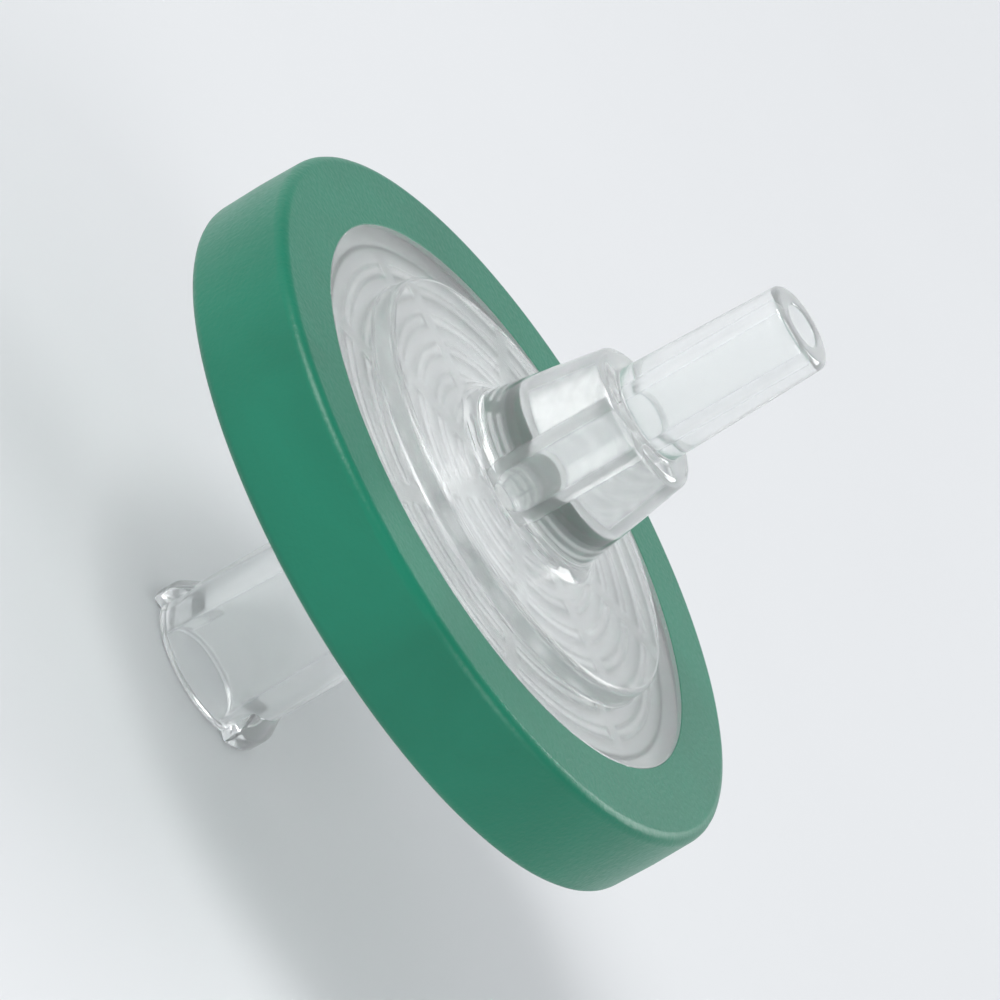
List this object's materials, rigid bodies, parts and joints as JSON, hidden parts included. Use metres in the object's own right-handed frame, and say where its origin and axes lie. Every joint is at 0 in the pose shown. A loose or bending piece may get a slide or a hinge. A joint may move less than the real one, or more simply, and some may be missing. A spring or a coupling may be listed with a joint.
{
  "type": "syringe filter",
  "caption": "Round clear syringe filter: a white membrane in a two-part housing sealed by a green rim ring, with a socket inlet below and a tapered outlet tip above.",
  "frame": {"origin": "centre of the inlet hub's end ring, on which the filter stands", "axes": "+Z along the flow axis, from the inlet socket towards the outlet tip; the two lugs of the inlet hub lie along X"},
  "size_m": [0.033, 0.033, 0.0305],
  "materials": {
    "clear_housing": "gloss",
    "membrane": "matte",
    "green_ring": "satin"
  },
  "bodies": {
    "root": {"inlet_housing": "clear_housing", "outlet_housing": "clear_housing", "membrane": "membrane", "overmould_ring": "green_ring"}
  },
  "joints": []
}
